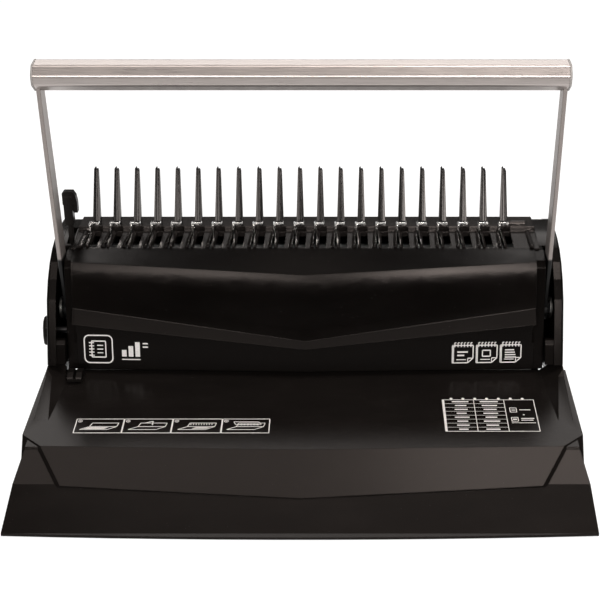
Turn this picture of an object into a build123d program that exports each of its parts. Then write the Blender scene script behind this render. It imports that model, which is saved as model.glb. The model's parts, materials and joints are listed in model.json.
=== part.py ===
from build123d import *
import os
from math import sin, cos, radians, hypot

os.makedirs("parts", exist_ok=True)

# Manual comb binding machine.  Frame: +X to the user's right, +Y to the rear,
# +Z up.  Origin on the table plane, under the middle of the bounding box.
# Side-view stations are given as (distance behind the tray's front corners,
# height above the table) and brought into the frame by side().

# ------------------------------------------------------------ driving sizes
Y_MID = 118.5            # bounding-box middle, behind the front corners
TRAY_HW = 179.3          # half width of the tray at the table
BODY_HW = 175.0          # half width at the end caps
PLAT_HW = 161.6          # platform half width at the throat
PLAT_HW_F = 165.2        # platform half width at its front corners
LIP_HW = 150.8           # facet half width at its lower edge
PROW = 4.0               # forward bulge of the front edges at the centre line
WALL = 2.6               # moulded wall

N_HOLES = 21
PITCH = 14.2875          # 9/16 in comb pitch
X_FIRST = -4.5 - 10 * PITCH
HOLE_X = [X_FIRST + i * PITCH for i in range(N_HOLES)]
PUNCH_W, PUNCH_T = 8.0, 2.9

CORE_HW = 162.5          # centre housing half width
PILLOW_HW = 156.0        # raised pillow half width
CAP_IN = 168.6           # inner face of an end cap
SHAFT_Y, SHAFT_Z, SHAFT_R = 172.0, 76.0, 5.0
FRAME_IN, FRAME_OUT = 154.0, 156.5
ARM_IN, ARM_OUT = 163.5, 166.3
HANDLE_Y, HANDLE_Z = 150.6, 245.0
HANDLE_HW = 167.8

SWING = radians(75.0)    # lever stroke
CRANK_P = 9.7            # punch crank radius
CRANK_O = 19.4           # opener crank radius
HALF = SWING / 2

THROAT_Z = 38.0          # paper path floor at the throat
GAP = 3.0                # paper path height
PUNCH_Y = 157.0          # punch line
DECK_Z = 119.0
KNOB_Y, KNOB_Z = 157.0, 66.0


def side(*pts):
    return [(y - Y_MID, z) for y, z in pts]


def yy(v):
    return v - Y_MID


def slab(pts, x0, x1):
    """Prism of a side-view outline between two X stations."""
    with BuildPart() as p:
        with BuildSketch(Plane.YZ.offset(x0)):
            with BuildLine():
                Polyline(*side(*pts), close=True)
            make_face()
        extrude(amount=x1 - x0)
    return p.part


def block(x0, x1, y0, y1, z0, z1):
    with BuildPart() as p:
        with BuildSketch(Plane.XY.offset(z0)):
            with Locations(((x0 + x1) / 2, yy((y0 + y1) / 2))):
                Rectangle(x1 - x0, y1 - y0)
        extrude(amount=z1 - z0)
    return p.part


def rod(x0, x1, y, z, r):
    with BuildPart() as p:
        with BuildSketch(Plane.YZ.offset(x0)):
            with Locations((yy(y), z)):
                Circle(r)
        extrude(amount=x1 - x0)
    return p.part


def plane3(a, b, c):
    """Plane through three stations (x, side y, z)."""
    A, B, C = (Vector(q[0], yy(q[1]), q[2]) for q in (a, b, c))
    n = (B - A).cross(C - A)
    return Plane(origin=A, x_dir=(B - A), z_dir=n)


def save(builder, name):
    builder.part.label = name
    export_step(builder.part, "parts/" + name + ".step")


# =========================================================== lower housing
# Front tray: apron, shoulders, gussets, faceted platform.  Right half, then
# mirrored.  The apron's front edge is a shallow arc.
def tray_outer():
    with BuildPart() as t:
        # shoulder / side strip / gusset profile
        with BuildSketch(Plane.YZ):
            with BuildLine():
                Polyline(*side((-6, 1.0), (-6, 2.0), (4.4, 2.9), (40, 15.0),
                               (60.6, 27.6), (61.4, 29.2), (84, 31.4), (131, 43.0),
                               (137, 48.0), (150, 48.0), (150, 1.0)), close=True)
            make_face()
        extrude(amount=TRAY_HW)
        # plan flare of the sides
        with BuildSketch(Plane.XZ.offset(-yy(160))):
            with BuildLine():
                Polyline((0, 0), (TRAY_HW, 0), (TRAY_HW, 15.0), (BODY_HW, 28.5),
                         (BODY_HW, 60), (0, 60), close=True)
            make_face()
        extrude(amount=200, mode=Mode.INTERSECT)
    return t.part


PA = (PLAT_HW_F, 61.0, 30.0)          # platform front corner
PB = (PLAT_HW, 150.0, 38.4)           # platform rear corner
PC = (0.0, 57.2, 29.65)               # middle of the break line
FD = (0.0, 28.6, 12.0)                # middle of the facet's foot
FE = (LIP_HW, 38.2, 15.2)             # end of the facet's foot


def convex(cut_planes, x0, x1, y0, y1, z0, z1):
    """Block trimmed by planes; each keeps the side of the inner point."""
    with BuildPart() as c:
        with BuildSketch(Plane.XY.offset(z0)):
            with Locations(((x0 + x1) / 2, yy((y0 + y1) / 2))):
                Rectangle(x1 - x0, y1 - y0)
        extrude(amount=z1 - z0)
        for pl, inner in cut_planes:
            v = Vector(inner[0], yy(inner[1]), inner[2]) - pl.origin
            keep = Keep.TOP if v.dot(pl.z_dir) > 0 else Keep.BOTTOM
            split(bisect_by=pl, keep=keep)
    return c.part


def facet_block(drop, x1, y1, bottom):
    """Raised platform with its sloping facet; drop shrinks it for the core."""
    d = drop
    ins = (50, 90, 15)
    planes = [
        (plane3((PA[0], PA[1], PA[2] - d), (PB[0], PB[1], PB[2] - d),
                (0, 90, 32.74 - d)), ins),
        (plane3((PA[0], PA[1] + 2 * d, PA[2]), (PC[0], PC[1] + 2 * d, PC[2]),
                (FD[0], FD[1] + 2 * d, FD[2])), ins),
        (plane3((FE[0], FE[1] - 0.8 + d, FE[2]), (FD[0], FD[1] + 0.1 + d, FD[2]),
                (FD[0], FD[1] + 0.1 + d, FD[2] + 10)), ins),
        (plane3((PA[0] - d, PA[1], PA[2]), (FE[0] - d, FE[1], FE[2]),
                (PA[0] + 3.2 - d, PA[1] + 0.5, PA[2] - 3.0)), ins),
    ]
    return convex(planes, 0, x1, 20, y1, bottom, 50)


def channel():
    """Space above the platform and between the gussets' inner walls."""
    ins = (0, 120, 60)
    planes = [
        (plane3(PA, PB, (0, 90, 32.74)), ins),
        (plane3((165.8, 83.0, 31.9), (160.9, 150.0, 38.4), (173.6, 134.0, 45.4)), ins),
    ]
    return convex(planes, 0, 179, 61, 151, 20, 60)


def tray_core():
    """Hollow under the tray's skin."""
    with BuildPart() as c:
        with BuildSketch(Plane.YZ):
            with BuildLine():
                Polyline(*side((14, -1), (14, 3.4), (40.5, 12.0), (61, 24.6), (63, 26.4),
                               (84, 28.4), (146, 30.0), (146, -1)), close=True)
            make_face()
        extrude(amount=TRAY_HW)
        with BuildSketch(Plane.XZ.offset(-yy(160))):
            with BuildLine():
                Polyline((0, -2), (TRAY_HW - 2.6, -2), (TRAY_HW - 2.6, 14.0),
                         (BODY_HW - 2.6, 27.5), (BODY_HW - 2.6, 60), (0, 60), close=True)
            make_face()
        extrude(amount=200, mode=Mode.INTERSECT)
    return c.part


with BuildPart() as front_arc:
    # plan outline of the tray with the bowed front edge
    with BuildSketch(Plane.XY):
        with BuildLine():
            Line((-TRAY_HW, yy(4.4)), (-TRAY_HW, yy(150)))
            Line((-TRAY_HW, yy(150)), (TRAY_HW, yy(150)))
            Line((TRAY_HW, yy(150)), (TRAY_HW, yy(4.4)))
            ThreePointArc((TRAY_HW, yy(4.4)), (0, yy(0.4)), (-TRAY_HW, yy(4.4)))
        make_face()
    extrude(amount=60)

with BuildPart() as front_tray:
    add(tray_outer())
    add(facet_block(0, 179, 150, 2))
    add(channel(), mode=Mode.SUBTRACT)
    add(tray_core(), mode=Mode.SUBTRACT)
    add(facet_block(2.6, 163, 146, -1), mode=Mode.SUBTRACT)
    mirror(about=Plane.YZ)
    add(front_arc.part, mode=Mode.INTERSECT)
    # relief for the edge guide's tongue
    add(block(-164.6, -150.0, 142.8, 151, 38.55, 43.0), mode=Mode.SUBTRACT)
    # the base plate passes under the rear wall
    add(block(-173.0, 173.0, 145, 151, 0, 3.3), mode=Mode.SUBTRACT)
    # screw bosses under the platform, open at the bottom
    for y, top in ((110, 32.6), (62, 28.3)):
        with BuildSketch(Plane.XY.offset(3.3)):
            with Locations((-120 if y == 110 else -60, yy(y)), (120 if y == 110 else 60, yy(y))):
                Circle(4.5)
        extrude(amount=top - 3.3)
        with BuildSketch(Plane.XY.offset(3.3)):
            with Locations((-120 if y == 110 else -60, yy(y)), (120 if y == 110 else 60, yy(y))):
                Circle(1.6)
        extrude(amount=14, mode=Mode.SUBTRACT)
save(front_tray, "front_tray")

# Rear base: three low walls with the drawer opening at the back.
REAR_Y = 236.5
DRAWER_HW = 118.0
with BuildPart() as rear_base:
    with BuildSketch(Plane.XZ.offset(-yy(REAR_Y))):
        with BuildLine():
            Polyline((-TRAY_HW, 1.0), (-TRAY_HW, 6.0), (-BODY_HW, 28.5), (-BODY_HW, 45.0),
                     (BODY_HW, 45.0), (BODY_HW, 28.5), (TRAY_HW, 6.0), (TRAY_HW, 1.0),
                     close=True)
        make_face()
    extrude(amount=REAR_Y - 150.0)
    with BuildSketch(Plane.XZ.offset(-yy(REAR_Y - WALL))):
        with BuildLine():
            Polyline((-TRAY_HW + WALL, 0), (-TRAY_HW + WALL, 6.0), (-BODY_HW + WALL, 28.0),
                     (-BODY_HW + WALL, 46.0), (BODY_HW - WALL, 46.0), (BODY_HW - WALL, 28.0),
                     (TRAY_HW - WALL, 6.0), (TRAY_HW - WALL, 0), close=True)
        make_face()
    extrude(amount=REAR_Y, mode=Mode.SUBTRACT)
    # drawer opening
    with BuildSketch(Plane.XZ.offset(-yy(REAR_Y + 1))):
        with Locations((0, 17.5)):
            Rectangle(2 * DRAWER_HW + 1.2, 24.6)
    extrude(amount=6, mode=Mode.SUBTRACT)
save(rear_base, "rear_base")

# Steel base plate with screw and foot holes.
FEET = [(-163, yy(26)), (163, yy(26)), (-163, yy(222)), (163, yy(222))]
CASE_SCREWS = [(-120, yy(110)), (120, yy(110)), (-60, yy(62)), (60, yy(62)),
               (-146, yy(168)), (146, yy(168)), (-146, yy(214)), (146, yy(214))]
with BuildPart() as base_plate:
    with BuildSketch(Plane.XY.offset(1.6)):
        with Locations((0, yy(124.4))):
            Rectangle(344, 218)
    extrude(amount=1.5)
    fillet(base_plate.edges().filter_by(Axis.Z), 4)
    with Locations((0, 0, 3.1)):
        with Locations(*CASE_SCREWS):
            Hole(2.1, depth=3)
        with Locations(*FEET):
            Hole(3.1, depth=3)
    with BuildSketch(Plane.XY.offset(0.5)):
        with GridLocations(60, 22, 4, 3):
            with Locations((0, -25)):
                SlotOverall(36, 5)
    extrude(amount=4, mode=Mode.SUBTRACT)
save(base_plate, "base_plate")

with BuildPart() as rubber_feet:
    with BuildSketch(Plane.XY):
        with Locations(*FEET):
            Circle(9.0)
    extrude(amount=1.6)
    chamfer(rubber_feet.faces().sort_by(Axis.Z)[0:4].edges(), 0.5)
    with BuildSketch(Plane.XY.offset(1.6)):
        with Locations(*FEET):
            Circle(3.0)
    extrude(amount=1.5)
    with BuildSketch(Plane.XY.offset(3.1)):
        with Locations(*FEET):
            Circle(3.8)
    extrude(amount=1.6, taper=20)
save(rubber_feet, "rubber_feet")

with BuildPart() as case_screws:
    with BuildSketch(Plane.XY.offset(0.8)):
        with Locations(*CASE_SCREWS):
            Circle(3.6)
    extrude(amount=0.8)
    with BuildSketch(Plane.XY.offset(1.6)):
        with Locations(*CASE_SCREWS):
            Circle(1.5)
    extrude(amount=9.0)
    with BuildSketch(Plane.XY.offset(0.8)):
        with Locations(*CASE_SCREWS):
            Rectangle(4.4, 0.8)
            Rectangle(0.8, 4.4)
    extrude(amount=0.5, mode=Mode.SUBTRACT)
save(case_screws, "case_screws")

# ================================================================ steel frame
def side_frame(sign):
    x0 = FRAME_IN if sign > 0 else -FRAME_OUT
    with BuildPart() as f:
        with BuildSketch(Plane.YZ.offset(x0)):
            with BuildLine():
                Polyline(*side((155.5, 33.0), (155.5, 60), (160.5, 96), (164, 106),
                               (176, 111.5), (214, 111.5), (228, 100), (228, 3.1),
                               (158, 3.1), (158, 33)), close=True)
            make_face()
            with Locations((yy(SHAFT_Y), SHAFT_Z)):
                Circle(8.0, mode=Mode.SUBTRACT)
            with Locations((yy(205), 60)):
                SlotOverall(26, 10, rotation=90, mode=Mode.SUBTRACT)
            with Locations((yy(200), 90)):
                Circle(6, mode=Mode.SUBTRACT)
        extrude(amount=FRAME_OUT - FRAME_IN)
        # foot flange, turned inwards
        add(block(sign * FRAME_IN - 12, sign * FRAME_IN + 12, 160, 224, 3.1, 5.3))
        add(block(sign * FRAME_OUT, sign * (FRAME_OUT + 30), 100, 240, 0, 12)
            if sign > 0 else block(-FRAME_OUT - 30, -FRAME_OUT, 100, 240, 0, 12),
            mode=Mode.SUBTRACT)
        with Locations((sign * 146, yy(168), 6), (sign * 146, yy(214), 6)):
            Hole(2.1, depth=4)
    return f


left_side_frame = side_frame(-1)
save(left_side_frame, "left_side_frame")
right_side_frame = side_frame(1)
save(right_side_frame, "right_side_frame")


def bush(sign):
    with BuildPart() as b:
        with BuildSketch(Plane.YZ.offset(sign * 152.0)):
            with Locations((yy(SHAFT_Y), SHAFT_Z)):
                Circle(8.0)
        extrude(amount=sign * 5.0)
        with BuildSketch(Plane.YZ.offset(sign * FRAME_OUT)):
            with Locations((yy(SHAFT_Y), SHAFT_Z)):
                Circle(10.5)
        extrude(amount=sign * 1.2)
        with BuildSketch(Plane.YZ.offset(sign * 151.0)):
            with Locations((yy(SHAFT_Y), SHAFT_Z)):
                Circle(SHAFT_R + 0.05)
        extrude(amount=sign * 9, mode=Mode.SUBTRACT)
    return b


left_bush = bush(-1)
save(left_bush, "left_bush")
right_bush = bush(1)
save(right_bush, "right_bush")

# Die plate, paper stop, punch guide: a stack behind the throat.
with BuildPart() as die_plate:
    add(block(-153.8, 153.8, 150.4, 188, THROAT_Z - 3.2, THROAT_Z))
    with BuildSketch(Plane.XY.offset(THROAT_Z - 5)):
        with Locations(*[(x, yy(PUNCH_Y)) for x in HOLE_X]):
            Rectangle(PUNCH_W + 0.2, PUNCH_T + 0.2)
    extrude(amount=8, mode=Mode.SUBTRACT)
    chamfer(die_plate.edges().filter_by(Axis.X).group_by(Axis.Z)[-1].sort_by(Axis.Y)[0], 1.2)
save(die_plate, "die_plate")

with BuildPart() as paper_stop:
    add(block(-153.8, 153.8, 163.2, 188, THROAT_Z, THROAT_Z + GAP))
save(paper_stop, "paper_stop")

with BuildPart() as punch_guide:
    add(block(-153.8, 153.8, 151.6, 188, THROAT_Z + GAP, THROAT_Z + GAP + 4))
    add(block(-153.8, 153.8, 180, 188, THROAT_Z + GAP + 4, THROAT_Z + GAP + 10))
    with BuildSketch(Plane.XY.offset(THROAT_Z)):
        with Locations(*[(x, yy(PUNCH_Y)) for x in HOLE_X]):
            Rectangle(PUNCH_W + 0.12, PUNCH_T + 0.12)
    extrude(amount=10, mode=Mode.SUBTRACT)
save(punch_guide, "punch_guide")

with BuildPart() as tie_rods:
    add(rod(-FRAME_IN, FRAME_IN, 220, 96, 4.0))
    add(rod(-FRAME_IN, FRAME_IN, 220, 52, 4.0))
    add(rod(-FRAME_IN, FRAME_IN, 184, 62, 4.0))
save(tie_rods, "tie_rods")

SPRING_Y, SPRING_TOP, SPRING_X = 163.3, 95.6, 138.0
with BuildPart() as spring_pins:
    for s in (-1, 1):
        add(rod(min(s * 134.5, s * FRAME_IN), max(s * 134.5, s * FRAME_IN), SPRING_Y, SPRING_TOP + 1.8, 1.8))
save(spring_pins, "spring_pins")

# Rails under the deck carry the hook carriage front to back.
with BuildPart() as carriage_rails:
    for s in (-1, 1):
        add(block(s * 150.4 - 3.6, s * 150.4 + 3.6, 166, 214, 99.2, 101.1))
        add(block(s * 153.5 - 0.5, s * 153.5 + 0.5, 166, 214, 99.2, 107.0))
save(carriage_rails, "carriage_rails")

# Frame screws: heads outside the side frames, shanks into the die stack.
with BuildPart() as frame_screws:
    for s in (-1, 1):
        for (y, z) in ((176.0, 36.4), (176.0, 43.0), (184.0, 62.0), (220.0, 96.0), (220.0, 52.0)):
            with BuildSketch(Plane.YZ.offset(s * FRAME_OUT)):
                with Locations((yy(y), z)):
                    Circle(2.8)
            extrude(amount=s * 1.8)
    for s in (-1, 1):
        for (y, z) in ((176.0, 36.4), (176.0, 43.0), (184.0, 62.0), (220.0, 96.0), (220.0, 52.0)):
            with BuildSketch(Plane.YZ.offset(s * (FRAME_OUT + 1.8))):
                with Locations((yy(y), z)):
                    RegularPolygon(1.3, 6)
            extrude(amount=-s * 1.2, mode=Mode.SUBTRACT)
save(frame_screws, "frame_screws")

# ============================================================= upper housing
# Front cover: lower panel, sharp lip, pillow and top band, one thin shell
# whose section runs forward to a shallow prow at the centre line.
END = dict(panel0=(146.0, 41.2), panel1=(151.2, 73.0), lip=(143.0, 75.8),
           up=(149.5, 85.0), a=(152.3, 97.0), b=(154.9, 107.5), top=(158.2, 115.2),
           band=(174.8, 118.9))
MID = dict(panel0=(141.0, 41.2), panel1=(143.8, 57.2), lip=(137.0, 60.0),
           up=(140.3, 64.8), a=(143.9, 80.0), b=(147.0, 96.5), top=(151.2, 108.7),
           band=(174.8, 118.9))


def cover_section(x, s):
    w = WALL
    with BuildSketch(Plane.YZ.offset(x)) as sk:
        with BuildLine():
            q = {k: (v[0] - Y_MID, v[1]) for k, v in s.items()}
            Line(q["panel0"], q["panel1"])
            Line(q["panel1"], q["lip"])
            Line(q["lip"], q["up"])
            Spline(q["up"], q["a"], q["b"], q["top"])
            Line(q["top"], q["band"])
            bi = (q["band"][0], q["band"][1] - w)
            ti = (q["top"][0] + 2.4, q["top"][1] - 1.9)
            ui = (q["up"][0] + w, q["up"][1])
            Line(q["band"], bi)
            Line(bi, ti)
            Spline(ti, (q["b"][0] + w + 0.1, q["b"][1] - 0.5), (q["a"][0] + w, q["a"][1] - 0.3), ui)
            Line(ui, (q["panel1"][0] + w, q["panel1"][1] + 1.2))
            Line((q["panel1"][0] + w, q["panel1"][1] + 1.2), (q["panel0"][0] + w, q["panel0"][1]))
            Line((q["panel0"][0] + w, q["panel0"][1]), q["panel0"])
        make_face()
    return sk.sketch


def cover_solid_section(x, s):
    """Filled version of the section, for the closed ends of the pillow."""
    with BuildSketch(Plane.YZ.offset(x)) as sk:
        with BuildLine():
            q = {k: (v[0] - Y_MID, v[1]) for k, v in s.items()}
            Line(q["panel0"], q["panel1"])
            Line(q["panel1"], q["lip"])
            Line(q["lip"], q["up"])
            Spline(q["up"], q["a"], q["b"], q["top"])
            Line(q["top"], q["band"])
            Line(q["band"], (q["band"][0], 80.0))
            Line((q["band"][0], 80.0), (158.0 - Y_MID, 74.0))
            Line((158.0 - Y_MID, 74.0), (q["panel0"][0] + 5, q["panel0"][1]))
            Line((q["panel0"][0] + 5, q["panel0"][1]), q["panel0"])
        make_face()
    return sk.sketch


SIDE_PTS = [(146.4, 41.2), (159.5, 110.5), (163.0, 114.6), (174.8, 117.6)]
with BuildPart() as front_cover:
    add(cover_section(-PILLOW_HW, END))
    add(cover_section(0, MID))
    loft(ruled=True)
    add(cover_section(0, MID))
    add(cover_section(PILLOW_HW, END))
    loft(ruled=True)
    # closed pillow ends, side fields and side walls
    for s in (-1, 1):
        add(slab([(148.0, 60.0), (151.2, 73.0), (143.4, 75.85), (149.6, 85.0), (152.3, 97.0),
                  (154.9, 107.4), (158.2, 115.1), (174.8, 118.8), (174.8, 116.0),
                  (160.0, 110.0), (156.4, 97.0), (153.6, 85.0), (153.6, 60.0)],
                 s * PILLOW_HW - 1.3, s * PILLOW_HW + 0.01))
        x0, x1 = (PILLOW_HW, CORE_HW) if s > 0 else (-CORE_HW, -PILLOW_HW)
        add(slab(SIDE_PTS + [(174.8, 115.0), (164.2, 112.2), (161.8, 109.5), (149.0, 41.2)],
                 x0 - 0.01, x1 + 0.01 if s > 0 else x1 + 0.01))
        w0, w1 = (CORE_HW - 2.2, CORE_HW) if s > 0 else (-CORE_HW, -CORE_HW + 2.2)
        add(slab([(147.5, 47.0), (160.0, 110.0), (163.5, 114.0), (174.8, 117.0), (183.6, 117.0),
                  (183.6, 109.4), (230.8, 109.4), (233.0, 99.0), (233.0, 47.0)], w0, w1))
        # window for the edge guide's leg
        if s < 0:
            add(block(-CORE_HW - 1, -CORE_HW + 5.5, 152.9, 162.0, 41.0, 70.8), mode=Mode.SUBTRACT)
        # slot for the shaft and the guide rod, open downwards
        add(slab([(165.0, 40), (165.0, 76.0), (166.5, 81.0), (172.0, 83.2), (177.5, 81.0),
                  (179.0, 76.0), (179.0, 40)], w0 - 1, w1 + 1), mode=Mode.SUBTRACT)
save(front_cover, "front_cover")

# Comb deck: slotted plate, low ridges, side ribs and the rear ledge that the
# fingers stand on.
SLOT_L0, SLOT_L1 = 176.0, 202.5
LEDGE_Y, LEDGE_Z = 203.4, 123.4
with BuildPart() as comb_deck:
    add(slab([(174.8, 118.9), (203.0, 120.2), (LEDGE_Y, 120.6), (LEDGE_Y + 0.6, LEDGE_Z - 0.6),
              (LEDGE_Y + 1.2, LEDGE_Z), (224.3, LEDGE_Z), (225.6, 121.5), (225.6, 117.0),
              (174.8, 116.3)], -159.8, 159.8))
    # ridges beside every slot
    for x in HOLE_X:
        with BuildSketch(Plane.XZ.offset(-yy(203.2))):
            with BuildLine():
                Spline((x - 7.0, 119.2), (x - 5.2, 120.75), (x - 3.4, 121.25), (x - 1.6, 120.9), (x - 0.45, 119.2),
                       tangents=[(1, 0.6), (0.3, -1)])
                Line((x - 0.45, 119.2), (x - 7.0, 119.2))
            make_face()
        extrude(amount=27.6)
    # comb slots and hook slits
    with BuildSketch(Plane.XY.offset(110)):
        for x in HOLE_X:
            with Locations((x + 2.0, yy((SLOT_L0 + SLOT_L1) / 2))):
                Rectangle(4.7, SLOT_L1 - SLOT_L0)
            with Locations((x - 3.45, yy(189.0))):
                Rectangle(1.6, 29.5)
    extrude(amount=20, mode=Mode.SUBTRACT)
    # recess in the ledge behind each hook
    for x in HOLE_X:
        add(block(x - 4.25, x + 4.35, 202.9, 205.2, 118.0, 130), mode=Mode.SUBTRACT)
    # finger sockets
    with BuildSketch(Plane.XY.offset(110)):
        for x in HOLE_X:
            with Locations((x, yy(208.0))):
                Rectangle(3.0, 3.0)
    extrude(amount=20, mode=Mode.SUBTRACT)
    # side ribs
    for s in (-1, 1):
        with BuildSketch(Plane.XZ.offset(-yy(224.0))):
            with Locations((s * 154.6, 119.6)):
                Circle(1.7)
        extrude(amount=49.2)
    # rounded stop bar at the right end of the ledge
    add(rod(142.5, 153.5, 208.5, LEDGE_Z + 0.6, 2.1))
    # opening for the stop lever's side field
save(comb_deck, "comb_deck")


# Fingers: tapered, leaning back, with a raised centre rib, a notched tip and
# a square root that plugs into the ledge.
F_BASE_Y, F_TIP_Y, F_TIP_Z = 205.6, 220.2, 161.8
with BuildPart() as comb_fingers:
    for x in HOLE_X:
        zb = LEDGE_Z
        with BuildSketch(Plane.XY.offset(zb)) as s0:
            with Locations((x, yy(F_BASE_Y + 2.4))):
                Rectangle(5.6, 4.8)
            with Locations((x, yy(F_BASE_Y - 0.2))):
                Rectangle(1.7, 0.6)
        with BuildSketch(Plane.XY.offset(F_TIP_Z)) as s1:
            with Locations((x, yy(F_TIP_Y + 1.5))):
                Rectangle(3.0, 3.0)
            with Locations((x, yy(F_TIP_Y - 0.15))):
                Rectangle(1.1, 0.5)
        loft(ruled=True)
        with BuildSketch(Plane.XY.offset(116.5)):
            with Locations((x, yy(208.0))):
                Rectangle(2.9, 2.9)
        extrude(amount=zb - 116.5 + 0.4)
    # notched tips: right shoulder lower, small vee in the middle
    with BuildSketch(Plane.XZ.offset(-yy(235))):
        for x in HOLE_X:
            with BuildLine():
                Polyline((x - 3, 164), (x - 1.7, 160.6), (x - 0.55, F_TIP_Z), (x + 0.15, 160.2),
                         (x + 0.9, 160.5), (x + 1.2, 160.1), (x + 1.8, 158.6), (x + 3, 164), close=True)
            make_face()
    extrude(amount=30, mode=Mode.SUBTRACT)
save(comb_fingers, "comb_fingers")

# Bright stop strip under the deck's front edge, notched for the hooks.
with BuildPart() as hook_stop_strip:
    add(block(-153.8, 153.8, 170.6, 178.2, 111.2, 113.4))
    add(block(-153.8, 153.8, 176.2, 178.2, 113.4, 116.0))
    for x in HOLE_X:
        add(block(x - 4.8, x - 2.1, 172.2, 180, 110, 118), mode=Mode.SUBTRACT)
    chamfer(hook_stop_strip.edges().filter_by(Axis.X).group_by(Axis.Z)[-1].group_by(Axis.Y)[-1], 0.8)
save(hook_stop_strip, "hook_stop_strip")

# Rear cover.
with BuildPart() as rear_cover:
    with BuildSketch(Plane.YZ.offset(-CORE_HW + 2.6)):
        with BuildLine():
            Polyline(*side((226.0, 122.6), (228.6, 121.4), (233.6, 114.0), (236.5, 98.0),
                           (236.5, 45.4), (233.9, 45.4), (233.9, 97.4), (231.3, 112.4),
                           (227.6, 118.4), (226.0, 119.6)), close=True)
        make_face()
    extrude(amount=2 * (CORE_HW - 2.6))
    # vent slots
    with BuildSketch(Plane.XZ.offset(-yy(240))):
        with GridLocations(14, 24, 9, 1):
            with Locations((0, 74)):
                SlotOverall(22, 3, rotation=90)
    extrude(amount=12, mode=Mode.SUBTRACT)
    # panel groove
    with BuildSketch(Plane.XZ.offset(-yy(236.5 + 0.01))):
        with Locations((0, 72)):
            RectangleRounded(292, 42, 6)
            RectangleRounded(290, 40, 5, mode=Mode.SUBTRACT)
    extrude(amount=0.7, mode=Mode.SUBTRACT)
save(rear_cover, "rear_cover")


# End caps.
CAP_OUTLINE = [(137.0, 48.2), (143.0, 65.0), (152.6, 90.0), (161.0, 101.5), (171.0, 110.2),
               (182.0, 116.2), (194.0, 119.8), (206.0, 121.2), (224.0, 121.6),
               (230.5, 119.6), (234.6, 112.6), (236.5, 98.0), (236.5, 45.4), (150.4, 45.4),
               (150.4, 48.2)]
WEB_TOP = [(184.4, 116.9), (194.0, 119.4), (206.0, 120.9), (223.8, 121.3), (230.3, 119.4),
           (234.4, 112.5), (236.3, 98.0), (236.3, 45.4), (233.9, 45.4), (233.9, 97.0),
           (231.0, 112.0), (228.0, 117.6), (206.0, 117.9), (184.4, 115.0)]


def end_cap(sign):
    with BuildPart() as c:
        x0, x1 = (CAP_IN, BODY_HW) if sign > 0 else (-BODY_HW, -CAP_IN)
        with BuildSketch(Plane.YZ.offset(x0)):
            with BuildLine():
                Polyline(*side(*CAP_OUTLINE), close=True)
            make_face()
        extrude(amount=x1 - x0)
        out = c.faces().sort_by(Axis.X)[-1 if sign > 0 else 0]
        rim = out.edges().filter_by(lambda e: e.center().Z > 50)
        fillet(rim, 1.8)
        # hollow the inner side
        h0, h1 = (CAP_IN - 0.1, BODY_HW - WALL) if sign > 0 else (-BODY_HW + WALL, -CAP_IN + 0.1)
        add(slab([(152.9, 48.2), (146.2, 66.0), (155.4, 88.5), (163.4, 99.2), (172.6, 107.3),
                  (183.0, 112.9), (206.0, 117.6), (222.0, 118.0), (228.0, 116.0), (231.6, 110.0),
                  (233.4, 98.0), (233.4, 48.2)], h0, h1), mode=Mode.SUBTRACT)
        w0, w1 = (160.1, CAP_IN + 0.05) if sign > 0 else (-CAP_IN - 0.05, -160.1)
        add(slab(WEB_TOP, w0, w1))
        # sill that closes the foot of the lever slot
        w0, w1 = (162.7, CAP_IN + 0.05) if sign > 0 else (-CAP_IN - 0.05, -162.7)
        add(slab([(138.2, 48.2), (142.4, 61.4), (143.8, 63.6), (146.2, 64.4), (148.8, 63.6),
                  (149.6, 61.0), (146.2, 48.2)], w0, w1))
        if sign < 0:
            # slot for the stop lever's stem, hole for the edge guide's screw
            add(block(-165.1, -161.1, 186.5, 209.0, 110, 125), mode=Mode.SUBTRACT)
            add(rod(-BODY_HW - 1, -CAP_IN + 1, KNOB_Y, KNOB_Z, 2.28), mode=Mode.SUBTRACT)
    return c


left_end_cap = end_cap(-1)
save(left_end_cap, "left_end_cap")
right_end_cap = end_cap(1)
save(right_end_cap, "right_end_cap")

# ============================================================= lever assembly
LEAN = (SHAFT_Y - HANDLE_Y, HANDLE_Z - SHAFT_Z)
ARM_LEN = hypot(*LEAN)
UX, UZ = -LEAN[0] / ARM_LEN, LEAN[1] / ARM_LEN       # along the arm, upwards
VX, VZ = UZ, -UX                                     # across the arm, rearwards


def arm_pt(along, across):
    return (SHAFT_Y + UX * along + VX * across, SHAFT_Z + UZ * along + VZ * across)


with BuildPart() as drive_shaft:
    add(rod(-168.2, 168.2, SHAFT_Y, SHAFT_Z, SHAFT_R))
    chamfer(drive_shaft.edges().filter_by(GeomType.CIRCLE), 0.6)
    # flats for the arms
    for s in (-1, 1):
        x0, x1 = (ARM_IN - 0.3, 169) if s > 0 else (-169, -ARM_IN + 0.3)
        add(block(x0, x1, SHAFT_Y - 6, SHAFT_Y - 4.2, 60, 90), mode=Mode.SUBTRACT)
        add(block(x0, x1, SHAFT_Y + 4.2, SHAFT_Y + 6, 60, 90), mode=Mode.SUBTRACT)
save(drive_shaft, "drive_shaft")


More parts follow.
